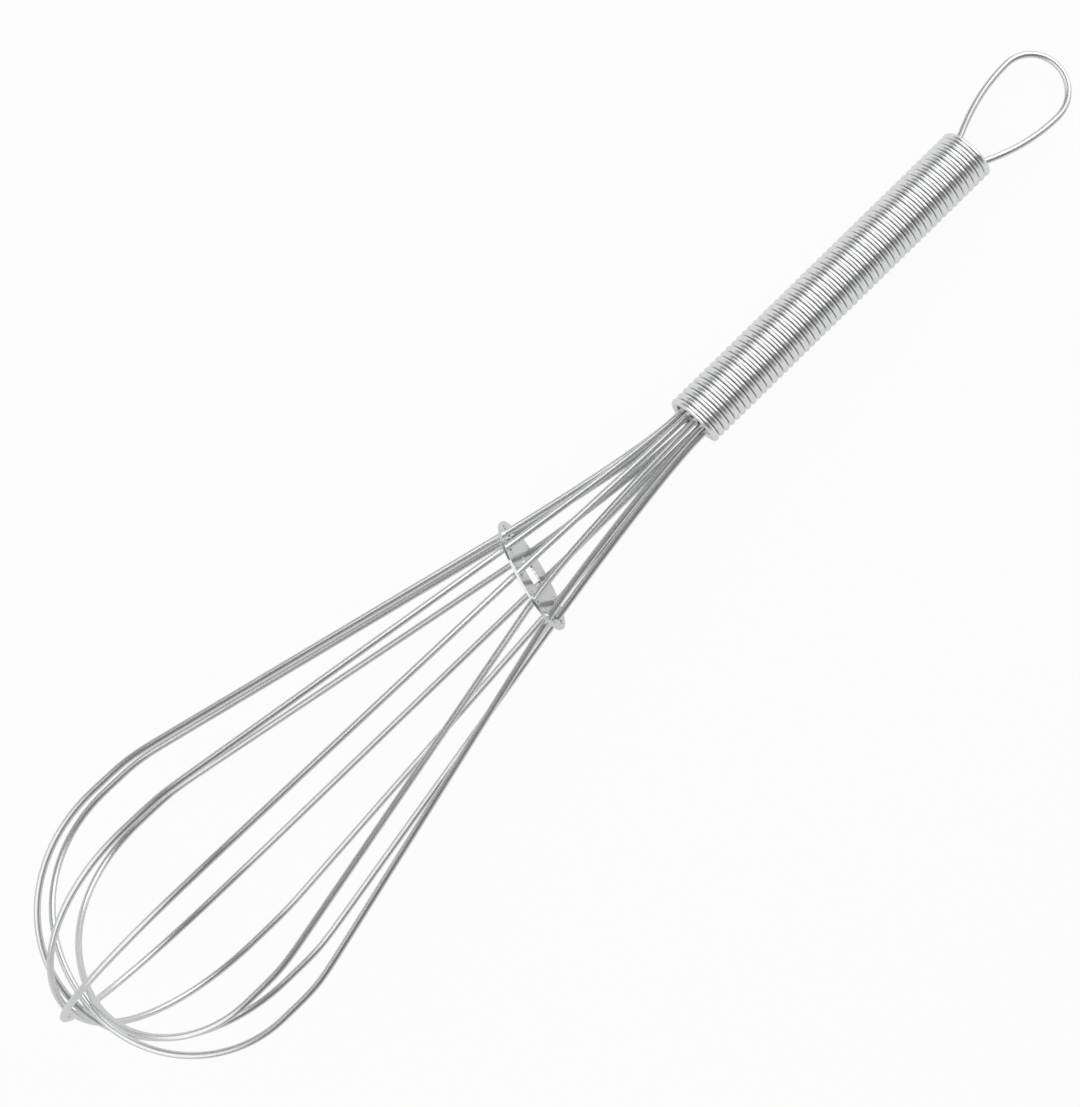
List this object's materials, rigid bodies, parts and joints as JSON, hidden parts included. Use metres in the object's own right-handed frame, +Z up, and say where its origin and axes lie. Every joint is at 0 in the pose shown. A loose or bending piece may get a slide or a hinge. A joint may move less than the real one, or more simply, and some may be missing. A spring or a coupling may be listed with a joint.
{
  "type": "balloon whisk",
  "caption": "Hand whisk with a balloon of crossed wire loops, a loose spreader disc, a wound wire handle and a teardrop hanging loop.",
  "frame": {"origin": "under the middle of the whisk's box, on the table that it lies on", "axes": "+X from the handle to the balloon's tip, +Z up from the table"},
  "size_m": [0.2984, 0.063, 0.0603],
  "materials": {
    "balloon_wire": "bright drawn stainless wire with faint lengthwise draw lines",
    "spreader_plate": "stamped stainless sheet, mirror bright, edges tumbled",
    "handle_wire": "bright stainless wire, close wound",
    "loop_wire": "bright drawn stainless wire",
    "core_steel": "plain cut rod"
  },
  "bodies": {
    "cage": {"balloon_wire_1": "balloon_wire", "balloon_wire_2": "balloon_wire", "balloon_wire_3": "balloon_wire", "balloon_wire_4": "balloon_wire", "balloon_wire_5": "balloon_wire", "handle_coil": "handle_wire", "hanging_loop": "loop_wire", "core_rod": "core_steel"},
    "spreader": {"spreader_disc": "spreader_plate"}
  },
  "joints": [
    {"name": "disc_slide", "type": "slide", "parent": "cage", "child": "spreader", "axis": [0.995, 0, 0.0997], "range_m": [-0.001, 0.001]}
  ]
}
